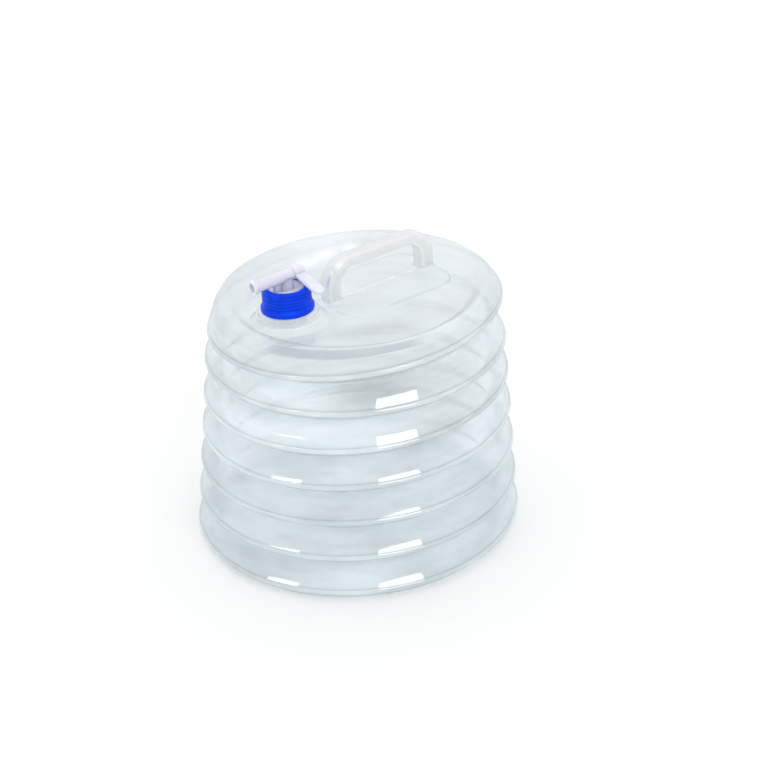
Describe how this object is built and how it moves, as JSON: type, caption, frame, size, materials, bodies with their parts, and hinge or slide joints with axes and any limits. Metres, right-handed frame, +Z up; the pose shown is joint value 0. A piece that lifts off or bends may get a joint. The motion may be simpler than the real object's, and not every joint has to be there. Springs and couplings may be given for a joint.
{
  "type": "collapsible water carrier",
  "caption": "Round folding water jug with accordion walls, a moulded carrying handle, and a lever tap held on the neck by a screw ring.",
  "frame": {"origin": "centre of the base, on the floor", "axes": "+Z up along the stack; +X from the neck towards the handle's far leg, along the handle's length"},
  "size_m": [0.2702, 0.2702, 0.2458],
  "materials": {
    "film": "translucent, satin",
    "crest": "translucent, satin",
    "blue_ring": "satin",
    "tap_white": "satin",
    "gasket": "matte"
  },
  "bodies": {
    "base": {"base_pan": "crest"},
    "fold_1": {"crest_ring_1": "crest", "fold_wall_1": "film"},
    "fold_2": {"crest_ring_2": "crest", "fold_wall_2": "film"},
    "fold_3": {"crest_ring_3": "crest", "fold_wall_3": "film"},
    "fold_4": {"crest_ring_4": "crest", "fold_wall_4": "film"},
    "fold_5": {"crest_ring_5": "crest", "fold_wall_5": "film"},
    "fold_6": {"fold_wall_6": "film"},
    "rim": {"crest_ring_6": "crest"},
    "lid": {"lid_plate": "film", "lid_shoulder": "film", "carry_handle": "film"},
    "tap": {"tap_body": "tap_white", "tap_gasket": "gasket"},
    "ring": {"screw_ring": "blue_ring"},
    "plug": {"tap_plug": "tap_white"}
  },
  "joints": [
    {"name": "collapse", "type": "slide", "parent": "base", "child": "lid", "axis": [0, 0, -1], "range_m": [0, 0.142], "deforming": ["fold_wall_1", "fold_wall_2", "fold_wall_3", "fold_wall_4", "fold_wall_5", "fold_wall_6", "lid_shoulder"]},
    {"name": "fold_1_slide", "type": "slide", "parent": "base", "child": "fold_1", "axis": [0, 0, -1], "range_m": [0, 0.02163]},
    {"name": "fold_2_slide", "type": "slide", "parent": "base", "child": "fold_2", "axis": [0, 0, -1], "range_m": [0, 0.04316]},
    {"name": "fold_3_slide", "type": "slide", "parent": "base", "child": "fold_3", "axis": [0, 0, -1], "range_m": [0, 0.0647]},
    {"name": "fold_4_slide", "type": "slide", "parent": "base", "child": "fold_4", "axis": [0, 0, -1], "range_m": [0, 0.08623]},
    {"name": "fold_5_slide", "type": "slide", "parent": "base", "child": "fold_5", "axis": [0, 0, -1], "range_m": [0, 0.10776]},
    {"name": "fold_6_slide", "type": "slide", "parent": "base", "child": "fold_6", "axis": [0, 0, -1], "range_m": [0, 0.12929]},
    {"name": "rim_level", "type": "hinge", "parent": "fold_6", "child": "rim", "pos_m": [0.00561, -0.00505, 0.19262], "axis": [0.5878, 0.809, 0], "range_deg": [0, 3.2]},
    {"name": "tap_lift", "type": "slide", "parent": "lid", "child": "tap", "axis": [0, 0, 1], "range_m": [0, 0.0141]},
    {"name": "ring_unscrew", "type": "hinge", "parent": "tap", "child": "ring", "pos_m": [-0.05776, -0.00555, 0.21332], "axis": [0, 0, 1], "range_deg": [0, 1440]},
    {"name": "tap_lever", "type": "hinge", "parent": "tap", "child": "plug", "pos_m": [-0.05776, -0.00555, 0.24042], "axis": [-1, 0, 0], "range_deg": [0, 90]}
  ],
  "couplings": [
    {"joint": "fold_1_slide", "follows": "collapse", "ratio": 0.15164},
    {"joint": "fold_2_slide", "follows": "collapse", "ratio": 0.30327},
    {"joint": "fold_3_slide", "follows": "collapse", "ratio": 0.45491},
    {"joint": "fold_4_slide", "follows": "collapse", "ratio": 0.60654},
    {"joint": "fold_5_slide", "follows": "collapse", "ratio": 0.75818},
    {"joint": "fold_6_slide", "follows": "collapse", "ratio": 0.90982},
    {"joint": "rim_level", "follows": "collapse", "rad_per_m": 0.38717},
    {"joint": "tap_lift", "follows": "ring_unscrew", "m_per_rad": 0.00055704}
  ]
}
